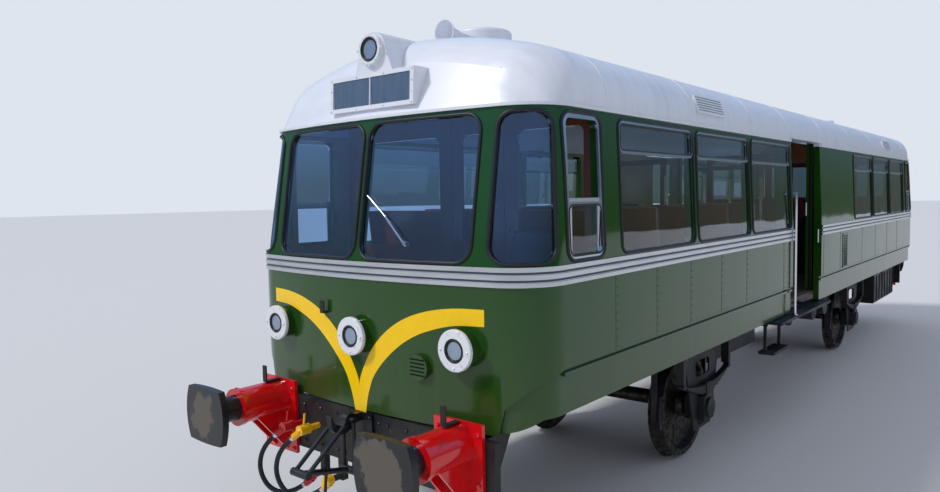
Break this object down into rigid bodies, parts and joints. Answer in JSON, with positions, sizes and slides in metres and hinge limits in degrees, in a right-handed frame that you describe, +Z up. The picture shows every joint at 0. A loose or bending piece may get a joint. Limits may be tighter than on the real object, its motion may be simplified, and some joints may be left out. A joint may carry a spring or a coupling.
{
  "type": "diesel railbus",
  "caption": "Four-wheel diesel railbus with a cab and wrap-round windscreens at each end, domed roof, sliding doors, two saloons, buffers and screw couplings.",
  "frame": {"origin": "mid length and mid width of the vehicle, on the level of the flange tips that it stands on, 28 mm below the rail head", "axes": "+X towards the end seen in the picture, +Y to the vehicle's left, +Z up"},
  "size_m": [13.96, 2.8, 3.7978],
  "materials": {
    "green_paint": "gloss",
    "door_green": "gloss",
    "roof_paint": "satin",
    "polished_trim": "polished",
    "window_glass": "clear",
    "blind_glass": "dark",
    "lamp_bezel": "gloss",
    "black_frame": "satin",
    "black_steel": "worn",
    "spring_steel": "dull",
    "exhaust_iron": "rusty",
    "wheel_steel": "worn",
    "buffer_red": "gloss",
    "hose_rubber": "matt",
    "valve_red": "gloss",
    "valve_yellow": "gloss",
    "wiper_chrome": "bright",
    "floor_lino": "matt",
    "bulkhead_wood": "varnished",
    "vestibule_paint": "gloss",
    "seat_cloth": "woven",
    "driver_leather": "worn"
  },
  "bodies": {
    "car_body": {"air_reservoirs": "black_frame", "axle_guards": "black_frame", "axleboxes": "black_steel", "battery_boxes": "black_frame", "brake_blocks": "black_steel", "brake_hoses": "hose_rubber", "buffer_heads": "black_steel", "buffer_housings": "buffer_red", "cab_bulkheads": "bulkhead_wood", "destination_boxes": "roof_paint", "destination_panes": "blind_glass", "door_rails": "wiper_chrome", "drawhooks": "black_steel", "driver_desks": "bulkhead_wood", "driver_seats": "driver_leather", "engine": "black_frame", "exhaust_silencer": "black_frame", "exhaust_stack": "exhaust_iron", "final_drive": "black_frame", "floor": "floor_lino", "front_end": "green_paint", "front_roof_dome": "roof_paint", "fuel_tank": "black_frame", "grab_poles": "wiper_chrome", "gutters": "polished_trim", "horns": "roof_paint", "lamp_irons": "black_frame", "lamp_lenses": "window_glass", "lamp_rims": "lamp_bezel", "leaf_springs": "spring_steel", "left_side": "green_paint", "nose_lamps": "green_paint", "rear_end": "green_paint", "rear_roof_dome": "roof_paint", "red_hose_fittings": "valve_red", "right_side": "green_paint", "roof": "roof_paint", "roof_vents": "roof_paint", "saloon_seats": "seat_cloth", "screw_couplings": "black_steel", "side_window_glass": "window_glass", "step_boards": "black_frame", "underframe": "black_frame", "vestibule_screens": "vestibule_paint", "waist_mouldings": "polished_trim", "window_frames": "polished_trim", "windscreens": "window_glass", "wipers": "wiper_chrome", "yellow_hose_fittings": "valve_yellow"},
    "front_axle": {"front_wheelset": "wheel_steel"},
    "rear_axle": {"rear_wheelset": "wheel_steel"},
    "left_sliding_door": {"left_door": "door_green", "left_door_glass": "window_glass"},
    "right_sliding_door": {"right_door": "door_green", "right_door_glass": "window_glass"},
    "front_cab_door_leaf": {"front_cab_door": "bulkhead_wood"},
    "rear_cab_door_leaf": {"rear_cab_door": "bulkhead_wood"}
  },
  "joints": [
    {"name": "front_axle_spin", "type": "hinge", "parent": "car_body", "child": "front_axle", "pos_m": [3, 0, 0.528], "axis": [0, 1, 0], "continuous": true},
    {"name": "rear_axle_spin", "type": "hinge", "parent": "car_body", "child": "rear_axle", "pos_m": [-3, 0, 0.528], "axis": [0, 1, 0], "continuous": true},
    {"name": "left_door_slide", "type": "slide", "parent": "car_body", "child": "left_sliding_door", "axis": [1, 0, 0], "range_m": [0, 1.175]},
    {"name": "right_door_slide", "type": "slide", "parent": "car_body", "child": "right_sliding_door", "axis": [1, 0, 0], "range_m": [0, 1.175]},
    {"name": "front_cab_door_hinge", "type": "hinge", "parent": "car_body", "child": "front_cab_door_leaf", "pos_m": [5.333, 0.44, 2.28], "axis": [0, 0, 1], "range_deg": [0, 90]},
    {"name": "rear_cab_door_hinge", "type": "hinge", "parent": "car_body", "child": "rear_cab_door_leaf", "pos_m": [-5.333, 0.44, 2.28], "axis": [0, 0, -1], "range_deg": [0, 90]}
  ]
}
